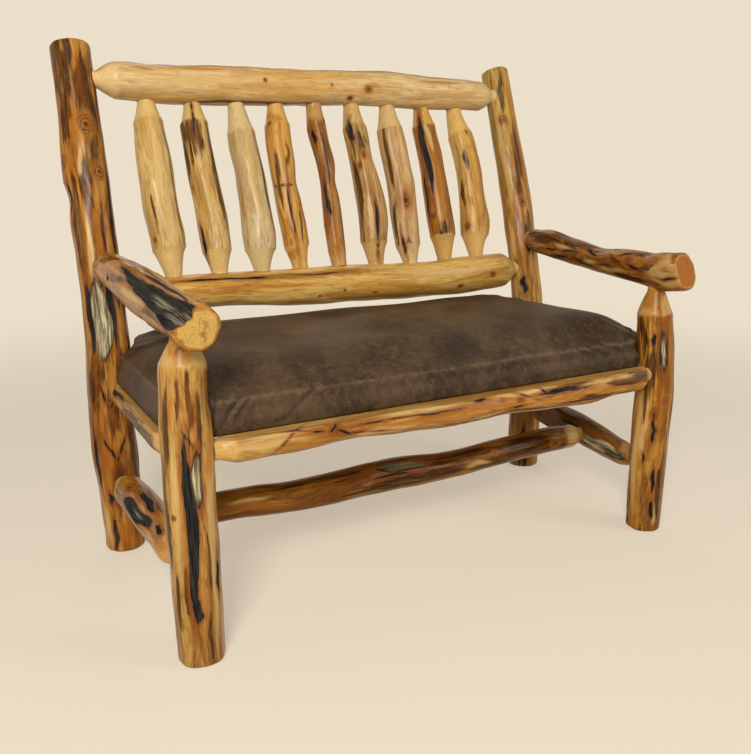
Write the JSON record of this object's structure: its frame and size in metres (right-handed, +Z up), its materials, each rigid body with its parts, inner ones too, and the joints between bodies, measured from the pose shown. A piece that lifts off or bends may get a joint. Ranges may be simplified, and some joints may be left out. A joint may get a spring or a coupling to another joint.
{
  "type": "log bench",
  "caption": "Rustic settle of peeled, lacquered logs with a leaning spindle back, log arms and a brown leather seat pad.",
  "frame": {"origin": "on the floor, at the middle of the bench's box", "axes": "+X along the seat, to the right as seen from the front; +Y from the front to the back; +Z up"},
  "size_m": [1.2371, 0.7993, 1.1013],
  "materials": {
    "front_posts": "gloss lacquer",
    "rear_posts": "gloss lacquer",
    "arms": "gloss lacquer",
    "back_rails": "gloss lacquer",
    "spindles": "gloss lacquer",
    "seat_rails": "gloss lacquer",
    "stretchers": "gloss lacquer",
    "leather": "distressed, satin",
    "plywood": "raw, sanded",
    "foam": "open-cell foam",
    "steel": "bright zinc"
  },
  "bodies": {
    "root": {"arm_left": "arms", "arm_right": "arms", "centre_stretcher": "stretchers", "cover_staples": "steel", "foam_pad": "foam", "frame_screws": "steel", "front_post_left": "front_posts", "front_post_right": "front_posts", "leather_cover": "leather", "lower_back_rail": "back_rails", "rear_post_left": "rear_posts", "rear_post_right": "rear_posts", "seat_board": "plywood", "seat_rail_front": "seat_rails", "seat_rail_left": "seat_rails", "seat_rail_rear": "seat_rails", "seat_rail_right": "seat_rails", "seat_screws": "steel", "side_stretcher_left": "stretchers", "side_stretcher_right": "stretchers", "spindle_1": "spindles", "spindle_2": "spindles", "spindle_3": "spindles", "spindle_4": "spindles", "spindle_5": "spindles", "spindle_6": "spindles", "spindle_7": "spindles", "spindle_8": "spindles", "spindle_9": "spindles", "top_rail": "back_rails"}
  },
  "joints": []
}
